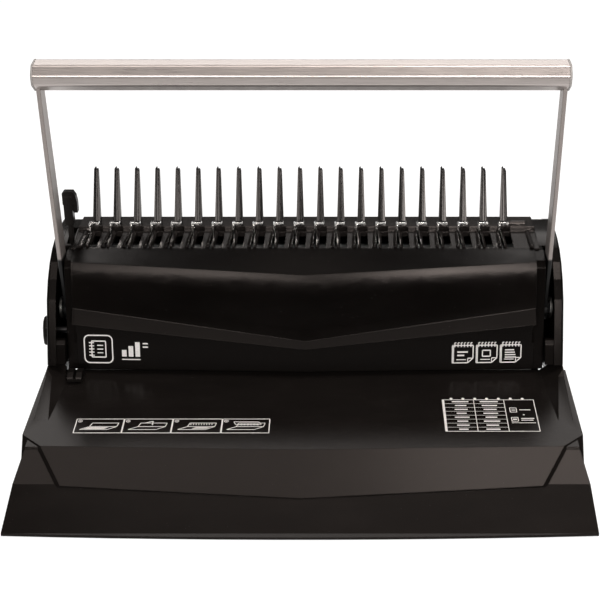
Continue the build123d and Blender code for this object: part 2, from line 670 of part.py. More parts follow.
def lever_arm(sign):
    x0, x1 = (ARM_IN, ARM_OUT) if sign > 0 else (-ARM_OUT, -ARM_IN)
    with BuildPart() as a:
        with BuildSketch(Plane.YZ.offset(x0)):
            with BuildLine():
                Polyline(*side(arm_pt(0, -7.6), arm_pt(100, -7.2), arm_pt(ARM_LEN + 5, -5.6),
                               arm_pt(ARM_LEN + 5, 5.6), arm_pt(100, 7.2), arm_pt(0, 7.6)),
                         close=True)
            make_face()
            with Locations((yy(SHAFT_Y), SHAFT_Z)):
                Circle(8.6)
            with Locations((yy(SHAFT_Y), SHAFT_Z)):
                Circle(SHAFT_R, mode=Mode.SUBTRACT)
        extrude(amount=x1 - x0)
        # the bore keeps two flats
        add(block(x0, x1, SHAFT_Y - 5.05, SHAFT_Y - 4.2, 72.5, 79.5))
        add(block(x0, x1, SHAFT_Y + 4.2, SHAFT_Y + 5.05, 72.5, 79.5))
        edges = a.edges().filter_by(lambda e: e.length > 60)
        chamfer(edges, 0.45)
    return a


left_arm = lever_arm(-1)
save(left_arm, "left_arm")
right_arm = lever_arm(1)
save(right_arm, "right_arm")

with BuildPart() as arm_screws:
    for s in (-1, 1):
        with BuildSketch(Plane.YZ.offset(s * 168.2)):
            with Locations((yy(SHAFT_Y), SHAFT_Z)):
                Circle(7.5)
        extrude(amount=s * 1.6)
        with BuildSketch(Plane.YZ.offset(s * 169.8)):
            with Locations((yy(SHAFT_Y), SHAFT_Z)):
                RegularPolygon(2.4, 6)
        extrude(amount=-s * 1.0, mode=Mode.SUBTRACT)
save(arm_screws, "arm_screws")

# Handle section: eight-sided rounded extrusion, in the arm's own axes.
H_PTS = [(8.6, -5.2), (8.6, 5.2), (3.4, 10.4), (-3.4, 10.4), (-8.6, 5.0), (-8.9, -4.0), (-3.0, -10.6), (3.2, -10.6)]


def handle_profile(shrink, x):
    with BuildSketch(Plane.YZ.offset(x)) as sk:
        with BuildLine():
            pts = [arm_pt(ARM_LEN + a * (1 - shrink / 9.0), b * (1 - shrink / 10.6)) for a, b in H_PTS]
            Polyline(*side(*pts), close=True)
        make_face()
        fillet(sk.vertices(), 2.2 if shrink > 1 else 3.0)
    return sk.sketch


with BuildPart() as handle_tube:
    add(handle_profile(0, -HANDLE_HW + 1.6))
    extrude(amount=2 * (HANDLE_HW - 1.6), dir=(1, 0, 0))
    add(handle_profile(1.9, -HANDLE_HW))
    extrude(amount=2 * HANDLE_HW, dir=(1, 0, 0), mode=Mode.SUBTRACT)
    # the tube's underside is notched where the arms come in
    for s in (-1, 1):
        x0, x1 = (ARM_IN - 0.15, HANDLE_HW) if s > 0 else (-HANDLE_HW, -ARM_IN + 0.15)
        add(slab([arm_pt(ARM_LEN - 14, -6.1), arm_pt(ARM_LEN - 14, 6.1), arm_pt(ARM_LEN - 2, 6.1),
                  arm_pt(ARM_LEN - 2, -6.1)], x0, x1), mode=Mode.SUBTRACT)
save(handle_tube, "handle_tube")

with BuildPart() as handle_plugs:
    for s in (-1, 1):
        add(handle_profile(1.95, s * 148.0))
        extrude(amount=ARM_IN - 148.0, dir=(s, 0, 0))
save(handle_plugs, "handle_plugs")


def handle_cap(sign):
    with BuildPart() as c:
        add(handle_profile(-0.35, sign * (HANDLE_HW - 1.5)))
        extrude(amount=1.0, dir=(sign, 0, 0))
        add(handle_profile(-0.35, sign * (HANDLE_HW - 0.5)))
        add(handle_profile(0.15, sign * HANDLE_HW))
        loft(ruled=True)
    return c


left_handle_cap = handle_cap(-1)
save(left_handle_cap, "left_handle_cap")
right_handle_cap = handle_cap(1)
save(right_handle_cap, "right_handle_cap")

with BuildPart() as handle_screws:
    cy, cz = arm_pt(ARM_LEN, 0)
    for s in (-1, 1):
        with BuildSketch(Plane.YZ.offset(s * HANDLE_HW)):
            with Locations((yy(cy), cz)):
                Circle(2.6)
        extrude(amount=s * 0.9)
    fillet(handle_screws.faces().sort_by(Axis.X)[0].edges(), 0.5)
    fillet(handle_screws.faces().sort_by(Axis.X)[-1].edges(), 0.5)
save(handle_screws, "handle_screws")


# Cranks.  A crank is a hub on the shaft with an arm to its pin.
def pin_at(radius, angle):
    """Angle measured from straight forward (-Y), upwards positive."""
    return (SHAFT_Y - radius * cos(angle), SHAFT_Z + radius * sin(angle))


PP = pin_at(CRANK_P, HALF)                                   # punch pin, rest
OP = (SHAFT_Y + CRANK_O * sin(HALF), SHAFT_Z + CRANK_O * cos(HALF))   # opener pin, rest


def crank(x0, x1, pin, pr, px0, px1, hub_r):
    with BuildPart() as c:
        with BuildSketch(Plane.YZ.offset(x0)):
            with Locations((yy(SHAFT_Y), SHAFT_Z)):
                Circle(hub_r)
            dy, dz = pin[0] - SHAFT_Y, pin[1] - SHAFT_Z
            L = hypot(dy, dz)
            ny, nz = -dz / L, dy / L
            with BuildLine():
                Polyline(*side((SHAFT_Y + ny * hub_r * 0.86, SHAFT_Z + nz * hub_r * 0.86),
                               (pin[0] + ny * 4.2, pin[1] + nz * 4.2),
                               (pin[0] - ny * 4.2, pin[1] - nz * 4.2),
                               (SHAFT_Y - ny * hub_r * 0.86, SHAFT_Z - nz * hub_r * 0.86)), close=True)
            make_face()
            with Locations((yy(pin[0]), pin[1])):
                Circle(4.2)
            with Locations((yy(SHAFT_Y), SHAFT_Z)):
                Circle(SHAFT_R, mode=Mode.SUBTRACT)
        extrude(amount=x1 - x0)
        with BuildSketch(Plane.YZ.offset(px0)):
            with Locations((yy(pin[0]), pin[1])):
                Circle(pr)
        extrude(amount=px1 - px0)
    return c.part


FORK_X, YOKE_X = 120.0, 40.0
with BuildPart() as punch_cranks:
    for s in (-1, 1):
        if s > 0:
            add(crank(FORK_X + 2.2, FORK_X + 7.2, PP, 2.5, FORK_X - 2.4, FORK_X + 3, 9.0))
        else:
            add(crank(-FORK_X - 7.2, -FORK_X - 2.2, PP, 2.5, -FORK_X - 3, -FORK_X + 2.4, 9.0))
save(punch_cranks, "punch_cranks")

with BuildPart() as opener_cranks:
    for s in (-1, 1):
        if s > 0:
            add(crank(YOKE_X + 2.2, YOKE_X + 6.2, OP, 2.5, YOKE_X - 2.4, YOKE_X + 3, 9.0))
        else:
            add(crank(-YOKE_X - 6.2, -YOKE_X - 2.2, OP, 2.5, -YOKE_X - 3, -YOKE_X + 2.4, 9.0))
save(opener_cranks, "opener_cranks")

# =============================================================== punch group
BAR_Z0, BAR_Z1 = 57.2, 67.2
with BuildPart() as punch_bar:
    add(block(-147.5, 147.5, 153.7, 161.2, BAR_Z0, BAR_Z1))
    chamfer(punch_bar.edges().filter_by(Axis.X).group_by(Axis.Z)[-1], 0.8)
    with BuildSketch(Plane.XY.offset(BAR_Z0 - 1)):
        with Locations(*[(x, yy(PUNCH_Y)) for x in HOLE_X]):
            Rectangle(PUNCH_W, PUNCH_T)
    extrude(amount=4.0, mode=Mode.SUBTRACT)
    # spring lugs
    for s in (-1, 1):
        add(block(s * SPRING_X - 4, s * SPRING_X + 4, 161.0, 165.8, BAR_Z0 + 2, BAR_Z1))
        with BuildSketch(Plane.XY.offset(BAR_Z1)):
            with Locations((s * SPRING_X, yy(SPRING_Y))):
                Circle(1.3)
        extrude(amount=3.0)
save(punch_bar, "punch_bar")

with BuildPart() as punch_pins:
    with BuildSketch(Plane.XY.offset(41.7)):
        with Locations(*[(x, yy(PUNCH_Y)) for x in HOLE_X]):
            Rectangle(PUNCH_W, PUNCH_T)
    extrude(amount=BAR_Z0 + 3.0 - 41.7)
    # shear relief in the tips
    with BuildSketch(Plane.XZ.offset(-yy(PUNCH_Y + 3))):
        for x in HOLE_X:
            with BuildLine():
                Polyline((x - 2.6, 41.5), (x, 43.2), (x + 2.6, 41.5), close=True)
            make_face()
    extrude(amount=6, mode=Mode.SUBTRACT)
save(punch_pins, "punch_pins")

with BuildPart() as punch_forks:
    for s in (-1, 1):
        add(slab([(154.5, BAR_Z1), (154.5, 80), (157.5, 90.0), (166.2, 90.0),
                  (166.2, PP[1] + 2.95), (159.2, PP[1] + 2.95), (158.6, PP[1]), (159.2, PP[1] - 2.85),
                  (166.2, PP[1] - 2.85), (166.2, 74.0), (161.0, BAR_Z1)],
                 s * FORK_X - 1.5, s * FORK_X + 1.5))
save(punch_forks, "punch_forks")

# Extension springs lift the punch bar and the lever back.
with BuildPart() as punch_springs:
    for s in (-1, 1):
        with BuildLine(Plane((s * SPRING_X, yy(SPRING_Y), BAR_Z1 + 0.5))) as path:
            Helix(pitch=2.05, height=SPRING_TOP - BAR_Z1 - 1.0, radius=1.8)
        start = path.line @ 0
        tan = path.line % 0
        with BuildSketch(Plane(origin=start, z_dir=tan)):
            RegularPolygon(0.46, 8)
        sweep(path=path.line, is_frenet=True)
save(punch_springs, "punch_springs")

# ============================================================== opener group
CAR_Y0, CAR_Y1 = 186.0, 211.0
with BuildPart() as hook_carriage:
    add(block(-152.7, 152.7, CAR_Y0, CAR_Y1, 101.4, 103.4))
    add(block(-152.7, 152.7, CAR_Y1 - 3, CAR_Y1, 103.4, 108.0))
    # lightening windows
    with BuildSketch(Plane.XY.offset(100)):
        for x in HOLE_X[1:-1]:
            with Locations((x + 2.2, yy(191.6))):
                SlotOverall(8, 4.4)
    extrude(amount=8, mode=Mode.SUBTRACT)
save(hook_carriage, "hook_carriage")

with BuildPart() as comb_hooks:
    for x in HOLE_X:
        add(block(x - 4.0, x - 2.9, 199.0, 202.6, 103.4, 126.4))
        add(block(x - 4.9, x - 2.0, 195.4, 204.6, 103.4, 104.6))
        with BuildSketch(Plane.XZ.offset(-yy(202.6))):
            with BuildLine():
                Polyline((x - 4.4, 121.8), (x - 4.4, 127.4), (x - 3.6, 128.3), (x + 2.6, 128.3),
                         (x + 3.0, 127.4), (x + 2.6, 126.6), (x - 2.2, 126.6), (x - 2.7, 126.0),
                         (x - 2.7, 121.8), close=True)
            make_face()
        extrude(amount=3.2)
save(comb_hooks, "comb_hooks")

with BuildPart() as opener_yokes:
    for s in (-1, 1):
        add(slab([(OP[0] - 5.4, 101.4), (OP[0] - 5.4, 86.5), (OP[0] - 3.1, 86.5), (OP[0] - 3.1, 98.3),
                  (OP[0] + 3.1, 98.3), (OP[0] + 3.1, 86.5), (OP[0] + 5.4, 86.5),
                  (OP[0] + 5.4, 96.0), (OP[0] + 10, 101.4)],
                 s * YOKE_X - 1.5, s * YOKE_X + 1.5))
save(opener_yokes, "opener_yokes")

# ============================================================== small movers
# Edge guide: two low fins in front of the throat, a tongue into it, a rod.
with BuildPart() as edge_guide:
    add(block(-161.2, -151.4, 131.0, 146.0, 38.75, 40.6))
    add(block(-163.2, -159.5, 144.0, 158.6, 38.75, 40.6))
    for (x0, x1) in ((-161.2, -157.2), (-155.4, -151.4)):
        with BuildSketch(Plane.YZ.offset(x0)):
            with BuildLine():
                Polyline(*side((131.0, 38.75), (132.4, 41.6), (136.0, 43.6), (140.0, 44.2),
                               (143.0, 43.2), (143.6, 38.75)), close=True)
            make_face()
        extrude(amount=x1 - x0)
        fillet(edge_guide.edges().filter_by(Axis.X).filter_by(
            lambda e: e.center().Z > 43.0 and x0 - 0.1 < e.center().X < x1 + 0.1), 0.8)
    add(block(-163.2, -160.2, KNOB_Y - 3.6, KNOB_Y + 3.6, 38.75, 69.8))
    add(rod(-164, -157, KNOB_Y, KNOB_Z, 2.28), mode=Mode.SUBTRACT)
save(edge_guide, "edge_guide")

with BuildPart() as edge_guide_screw:
    add(rod(-175.2, -157.6, KNOB_Y, KNOB_Z, 2.2))
save(edge_guide_screw, "edge_guide_screw")

with BuildPart() as edge_guide_knob:
    with BuildSketch(Plane.YZ.offset(-175.2)):
        with BuildLine():
            Polyline(*side((149.0, 57.8), (148.2, 64.0), (149.6, 70.4), (152.8, 74.6), (157.0, 76.0),
                           (161.2, 74.6), (164.4, 70.4), (165.8, 64.0), (165.0, 57.8)), close=True)
        make_face()
    extrude(amount=-3.6)
    chamfer(edge_guide_knob.faces().sort_by(Axis.X)[0].edges(), 1.0)
save(edge_guide_knob, "edge_guide_knob")

# Comb stop lever: hooked thumb post at the left rear, slides front to back.
ST_Y = 194.0
with BuildPart() as comb_stop_lever:
    add(block(-164.7, -161.5, ST_Y - 2.2, ST_Y + 2.2, 110.6, 130.4))
    add(block(-166.2, -160.2, ST_Y - 3.4, ST_Y + 3.4, 129.4, 150.0))
    with BuildSketch(Plane.XZ.offset(-yy(ST_Y + 2.8))):
        with BuildLine():
            Polyline((-166.8, 144.0), (-166.8, 152.4), (-165.6, 153.6), (-159.4, 153.6), (-157.6, 150.6),
                     (-156.8, 146.0), (-156.8, 138.4), (-159.6, 138.4), (-160.4, 141.0), (-160.4, 144.0),
                     close=True)
        make_face()
    extrude(amount=5.6)
    add(block(-168.4, -157.8, ST_Y - 3.6, ST_Y + 3.6, 110.6, 113.6))
save(comb_stop_lever, "comb_stop_lever")

# Chip drawer: shallow open tray behind and below the die, pulled out at the back.
with BuildPart() as chip_drawer:
    add(block(-DRAWER_HW, DRAWER_HW, 151.4, 236.0, 5.6, 29.4))
    add(block(-DRAWER_HW + 2, DRAWER_HW - 2, 153.4, 233.4, 7.6, 31.0), mode=Mode.SUBTRACT)
    # rear face plate with a finger recess
    with BuildSketch(Plane.XZ.offset(-yy(233.0))):
        with Locations((0, 30.0)):
            SlotOverall(60, 20)
    extrude(amount=-6, mode=Mode.SUBTRACT)
save(chip_drawer, "chip_drawer")

with BuildPart() as drawer_rails:
    for s in (-1, 1):
        x0, x1 = (DRAWER_HW + 0.4, DRAWER_HW + 3.4) if s > 0 else (-DRAWER_HW - 3.4, -DRAWER_HW - 0.4)
        add(block(x0, x1, 156, 232, 3.1, 16))
        x0, x1 = (DRAWER_HW - 8, DRAWER_HW + 3.4) if s > 0 else (-DRAWER_HW - 3.4, -DRAWER_HW + 8)
        add(block(x0, x1, 156, 232, 3.1, 5.2))
save(drawer_rails, "drawer_rails")
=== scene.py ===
"""Looks of the comb binding machine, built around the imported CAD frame.  Metres, +Z up."""

import json
import math

import bmesh
import bpy
from mathutils import Vector
from mathutils.bvhtree import BVHTree
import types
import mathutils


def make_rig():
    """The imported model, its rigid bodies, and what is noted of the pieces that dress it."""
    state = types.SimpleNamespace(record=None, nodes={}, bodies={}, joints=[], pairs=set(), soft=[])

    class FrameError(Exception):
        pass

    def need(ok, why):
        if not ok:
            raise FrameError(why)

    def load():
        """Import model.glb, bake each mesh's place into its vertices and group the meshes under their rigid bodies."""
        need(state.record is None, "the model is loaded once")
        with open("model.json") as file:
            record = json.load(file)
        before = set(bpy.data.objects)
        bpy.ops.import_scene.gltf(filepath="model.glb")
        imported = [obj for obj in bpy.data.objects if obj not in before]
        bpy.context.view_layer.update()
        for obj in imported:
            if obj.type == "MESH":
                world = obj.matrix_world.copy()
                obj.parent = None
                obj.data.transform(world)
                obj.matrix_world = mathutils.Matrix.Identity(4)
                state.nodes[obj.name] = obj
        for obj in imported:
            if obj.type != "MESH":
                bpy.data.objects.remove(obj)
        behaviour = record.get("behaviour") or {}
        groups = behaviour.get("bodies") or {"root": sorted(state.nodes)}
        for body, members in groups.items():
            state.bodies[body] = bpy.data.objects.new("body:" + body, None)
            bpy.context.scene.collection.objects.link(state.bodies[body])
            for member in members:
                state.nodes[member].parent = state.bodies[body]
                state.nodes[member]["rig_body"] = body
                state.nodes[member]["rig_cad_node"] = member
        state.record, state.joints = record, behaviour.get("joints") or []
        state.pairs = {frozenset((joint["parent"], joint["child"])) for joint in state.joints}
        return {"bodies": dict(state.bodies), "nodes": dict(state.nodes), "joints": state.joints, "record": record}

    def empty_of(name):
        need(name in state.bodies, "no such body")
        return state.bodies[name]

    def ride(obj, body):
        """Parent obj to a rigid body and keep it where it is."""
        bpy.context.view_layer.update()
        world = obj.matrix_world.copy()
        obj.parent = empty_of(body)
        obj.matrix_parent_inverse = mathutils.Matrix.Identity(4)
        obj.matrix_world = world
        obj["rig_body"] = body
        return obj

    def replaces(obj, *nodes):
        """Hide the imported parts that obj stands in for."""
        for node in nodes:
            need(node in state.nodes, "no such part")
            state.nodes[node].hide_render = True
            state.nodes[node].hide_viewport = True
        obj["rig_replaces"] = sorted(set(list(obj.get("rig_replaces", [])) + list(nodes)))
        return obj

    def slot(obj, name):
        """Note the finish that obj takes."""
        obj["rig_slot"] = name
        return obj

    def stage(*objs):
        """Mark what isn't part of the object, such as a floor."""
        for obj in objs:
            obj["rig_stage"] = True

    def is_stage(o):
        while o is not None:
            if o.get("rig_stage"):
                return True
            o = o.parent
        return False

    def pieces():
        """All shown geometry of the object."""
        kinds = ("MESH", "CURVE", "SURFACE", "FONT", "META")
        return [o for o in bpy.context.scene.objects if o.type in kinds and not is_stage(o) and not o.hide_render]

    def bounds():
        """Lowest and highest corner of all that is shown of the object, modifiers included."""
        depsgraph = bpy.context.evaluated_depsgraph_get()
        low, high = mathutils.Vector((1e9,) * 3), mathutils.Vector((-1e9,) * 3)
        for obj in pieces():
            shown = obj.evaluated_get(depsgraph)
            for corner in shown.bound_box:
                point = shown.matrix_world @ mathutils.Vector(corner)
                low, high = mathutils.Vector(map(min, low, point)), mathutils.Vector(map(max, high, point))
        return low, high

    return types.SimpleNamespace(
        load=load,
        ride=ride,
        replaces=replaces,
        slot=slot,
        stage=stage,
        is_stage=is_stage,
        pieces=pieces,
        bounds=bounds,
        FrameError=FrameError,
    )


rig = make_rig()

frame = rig.load()
NODES = frame["nodes"]
SLOT_OF = {s["node"]: s["material_slot"] for s in frame["record"]["subparts"]}
cad_lo, cad_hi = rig.bounds()
CAD_BOX = [list(map(float, cad_lo)), list(map(float, cad_hi))]
YM = 0.1185          # side stations are measured from the tray's front corners
scene = bpy.context.scene


# ------------------------------------------------------------------ materials
class Tree:
    """Small helper that builds one node tree."""

    def __init__(self, name):
        self.mat = bpy.data.materials.new(name)
        self.mat.use_nodes = True
        self.nt = self.mat.node_tree
        self.nt.nodes.clear()
        self.out = self.node("ShaderNodeOutputMaterial")
        self.bsdf = self.node("ShaderNodeBsdfPrincipled")
        self.link(self.bsdf, "BSDF", self.out, "Surface")
        self.coord = self.node("ShaderNodeTexCoord")

    def node(self, kind, **props):
        n = self.nt.nodes.new(kind)
        for k, v in props.items():
            setattr(n, k, v)
        return n

    def link(self, a, ao, b, bi):
        self.nt.links.new(a.outputs[ao], b.inputs[bi])

    def noise(self, scale, detail=2.0, rough=0.5, stretch=None):
        n = self.node("ShaderNodeTexNoise")
        n.inputs["Scale"].default_value = scale
        n.inputs["Detail"].default_value = detail
        n.inputs["Roughness"].default_value = rough
        if stretch:
            m = self.node("ShaderNodeMapping")
            m.inputs["Scale"].default_value = stretch
            self.link(self.coord, "Object", m, "Vector")
            self.link(m, "Vector", n, "Vector")
        else:
            self.link(self.coord, "Object", n, "Vector")
        return n

    def ramp(self, src, socket, stops):
        r = self.node("ShaderNodeValToRGB")
        els = r.color_ramp.elements
        els[0].position, els[0].color = stops[0][0], (*stops[0][1], 1)
        els[1].position, els[1].color = stops[-1][0], (*stops[-1][1], 1)
        for p, c in stops[1:-1]:
            e = els.new(p)
            e.color = (*c, 1)
        self.link(src, socket, r, "Fac")
        return r

    def span(self, src, socket, a, b, c, d):
        m = self.node("ShaderNodeMapRange")
        m.inputs["From Min"].default_value = a
        m.inputs["From Max"].default_value = b
        m.inputs["To Min"].default_value = c
        m.inputs["To Max"].default_value = d
        self.link(src, socket, m, "Value")
        return m

    def mix(self, fac_node, fac_out, a, b):
        """Mix of two colour outputs or constants by a factor output."""
        m = self.node("ShaderNodeMix", data_type="RGBA")
        self.link(fac_node, fac_out, m, 0)
        for idx, v in ((6, a), (7, b)):
            if isinstance(v, tuple) and not isinstance(v[0], float):
                self.nt.links.new(v[0].outputs[v[1]], m.inputs[idx])
            else:
                m.inputs[idx].default_value = (*v, 1)
        return m

    def add(self, a, ao, b, bo, wa=1.0, wb=1.0):
        ma = self.node("ShaderNodeMath", operation="MULTIPLY")
        self.link(a, ao, ma, 0)
        ma.inputs[1].default_value = wa
        mb = self.node("ShaderNodeMath", operation="MULTIPLY_ADD")
        self.link(b, bo, mb, 0)
        mb.inputs[1].default_value = wb
        self.link(ma, 0, mb, 2)
        return mb


def tone(c, k):
    return tuple(min(1.0, v * k) for v in c)


def finish_bump(t, height, out, strength, dist, edge=0.0006):
    """Bump over a slightly rounded edge normal."""
    bump = t.node("ShaderNodeBump")
    bump.inputs["Strength"].default_value = strength
    bump.inputs["Distance"].default_value = dist
    t.link(height, out, bump, "Height")
    if edge:
        bev = t.node("ShaderNodeBevel", samples=4)
        bev.inputs["Radius"].default_value = edge
        t.link(bev, "Normal", bump, "Normal")
    t.link(bump, "Normal", t.bsdf, "Normal")


def plastic(name, base, rough, spec=0.5, tint=(1, 1, 1), grain=1900.0, strength=0.35, dist=0.00006,
            edge=0.0006, coat=0.0, edge_wear_and_highlight=0.5, patch=0.10):
    """Moulded plastic: spark-eroded grain, faint handling marks, paler edges (wear plus a painted edge highlight), dust
    specks.
    """
    t = Tree(name)
    b = t.bsdf
    b.inputs["IOR"].default_value = 1.46
    b.inputs["Specular IOR Level"].default_value = spec
    b.inputs["Specular Tint"].default_value = (*tint, 1)
    if coat:
        b.inputs["Coat Weight"].default_value = coat
        b.inputs["Coat Roughness"].default_value = 0.18
    fine = t.noise(grain, 3.0, 0.6)
    cell = t.node("ShaderNodeTexVoronoi")
    cell.inputs["Scale"].default_value = grain * 0.55
    t.link(t.coord, "Object", cell, "Vector")
    smear = t.noise(16.0, 5.0, 0.62, stretch=(1.0, 2.3, 1.7))
    cloud = t.noise(4.5, 3.0, 0.5)
    # colour: base with slow tone changes
    c1 = t.ramp(smear, "Fac", [(0.30, tone(base, 0.82)), (0.52, base), (0.74, tone(base, 1.28))])
    # paler edges: wear, slightly polished, plus a painted highlight along edges and creases
    geo = t.node("ShaderNodeNewGeometry")
    edge_n = t.span(geo, "Pointiness", 0.515, 0.60, 0.0, edge_wear_and_highlight)
    worn_and_highlit_edge = t.node("ShaderNodeMath", operation="MULTIPLY")
    t.link(edge_n, 0, worn_and_highlit_edge, 0)
    t.link(smear, "Fac", worn_and_highlit_edge, 1)
    c2 = t.mix(worn_and_highlit_edge, 0, (c1, "Color"), tone(base, 3.2))
    # sparse dust
    dust = t.node("ShaderNodeTexVoronoi")
    dust.inputs["Scale"].default_value = 210.0
    t.link(t.coord, "Object", dust, "Vector")
    speck = t.span(dust, "Distance", 0.05, 0.025, 0.0, 0.16)
    c3 = t.mix(speck, 0, (c2, 2), (0.35, 0.33, 0.31))
    t.nt.links.new(c3.outputs[2], b.inputs["Base Color"])
    # roughness: grain plus broad patches
    r = t.add(fine, "Fac", smear, "Fac", 0.10, patch)
    r2 = t.node("ShaderNodeMath", operation="ADD")
    t.link(r, 0, r2, 0)
    r2.inputs[1].default_value = rough - 0.05 - patch / 2
    t.link(r2, 0, b, "Roughness")
    h = t.add(fine, "Fac", cell, "Distance", 1.0, 0.6)
    h2 = t.add(h, 0, cloud, "Fac", 1.0, 0.8)
    finish_bump(t, h2, 0, strength, dist, edge)
    return t.mat


def metal(name, base, rough, brushed=None, metallic=1.0, strength=0.25, dist=0.00003, edge=0.0004,
          stain=(0.12, 0.11, 0.10), patch=0.14, amount=0.25, fine_scale=2600.0):
    """Metal with a drawn or plated grain, slow stains and bright edges."""
    t = Tree(name)
    b = t.bsdf
    b.inputs["Metallic"].default_value = metallic
    grain = t.noise(fine_scale if not brushed else 900.0, 4.0, 0.6, stretch=brushed)
    cloud = t.noise(22.0, 6.0, 0.62)
    fine = t.noise(3400.0, 2.0, 0.5)
    c1 = t.ramp(grain, "Fac", [(0.30, tone(base, 0.86)), (0.50, base), (0.72, tone(base, 1.10))])
    st = t.span(cloud, "Fac", 0.52, 0.78, 0.0, amount)
    c2 = t.mix(st, 0, (c1, "Color"), stain)
    t.nt.links.new(c2.outputs[2], b.inputs["Base Color"])
    r = t.add(grain, "Fac", cloud, "Fac", 0.12, patch)
    r2 = t.node("ShaderNodeMath", operation="ADD")
    t.link(r, 0, r2, 0)
    r2.inputs[1].default_value = rough - 0.06 - patch / 2
    t.link(r2, 0, b, "Roughness")
    h = t.add(grain, "Fac", fine, "Fac", 1.0, 0.5)
    finish_bump(t, h, 0, strength, dist, edge)
    return t.mat


def powder(name, base, rough=0.45, metallic=0.0, painted_shade_below_z=None):
    """Powder coat: orange peel, fine metallic flake, chips at the edges; optionally painted shade, near-black below a
    given height.
    """
    t = Tree(name)
    b = t.bsdf
    b.inputs["Metallic"].default_value = metallic
    b.inputs["Specular IOR Level"].default_value = 0.5
    peel = t.noise(620.0, 2.0, 0.5)
    flake = t.node("ShaderNodeTexVoronoi")
    flake.inputs["Scale"].default_value = 3600.0
    t.link(t.coord, "Object", flake, "Vector")
    cloud = t.noise(18.0, 5.0, 0.6)
    c1 = t.ramp(flake, "Distance", [(0.05, tone(base, 1.22)), (0.35, base), (0.8, tone(base, 0.86))])
    geo = t.node("ShaderNodeNewGeometry")
    e = t.span(geo, "Pointiness", 0.53, 0.62, 0.0, 0.5)
    e2 = t.node("ShaderNodeMath", operation="MULTIPLY")
    t.link(e, 0, e2, 0)
    t.link(cloud, "Fac", e2, 1)
    c2 = t.mix(e2, 0, (c1, "Color"), tone(base, 1.7))
    # painted shade: below the given height the coat turns near-black, where the arm sits in its dark slot
    if painted_shade_below_z:
        sep = t.node("ShaderNodeSeparateXYZ")
        t.link(t.coord, "Object", sep, "Vector")
        low = t.span(sep, "Z", painted_shade_below_z - 0.0008, painted_shade_below_z + 0.0008, 1.0, 0.0)
        c2 = t.mix(low, 0, (c2, 2), (0.004, 0.004, 0.004))
    t.nt.links.new(c2.outputs[2], b.inputs["Base Color"])
    r = t.add(peel, "Fac", cloud, "Fac", 0.12, 0.12)
    r2 = t.node("ShaderNodeMath", operation="ADD")
    t.link(r, 0, r2, 0)
    r2.inputs[1].default_value = rough - 0.12
    t.link(r2, 0, b, "Roughness")
    h = t.add(peel, "Fac", flake, "Distance", 1.0, 0.35)
    finish_bump(t, h, 0, 0.30, 0.00008, 0.0005)
    return t.mat


def ink(name):
    """White pad print, a little thin and uneven."""
    t = Tree(name)
    b = t.bsdf
    b.inputs["Specular IOR Level"].default_value = 0.4
    n = t.noise(1500.0, 3.0, 0.65)
    m = t.noise(60.0, 3.0, 0.5)
    s = t.add(n, "Fac", m, "Fac", 0.7, 0.3)
    c = t.ramp(s, 0, [(0.28, (0.52, 0.50, 0.48)), (0.45, (0.80, 0.78, 0.76)), (0.70, (0.92, 0.91, 0.89))])
    t.link(c, "Color", b, "Base Color")
    r = t.span(n, "Fac", 0.3, 0.7, 0.42, 0.62)
    t.link(r, 0, b, "Roughness")
    finish_bump(t, n, "Fac", 0.2, 0.00003, 0)
    return t.mat


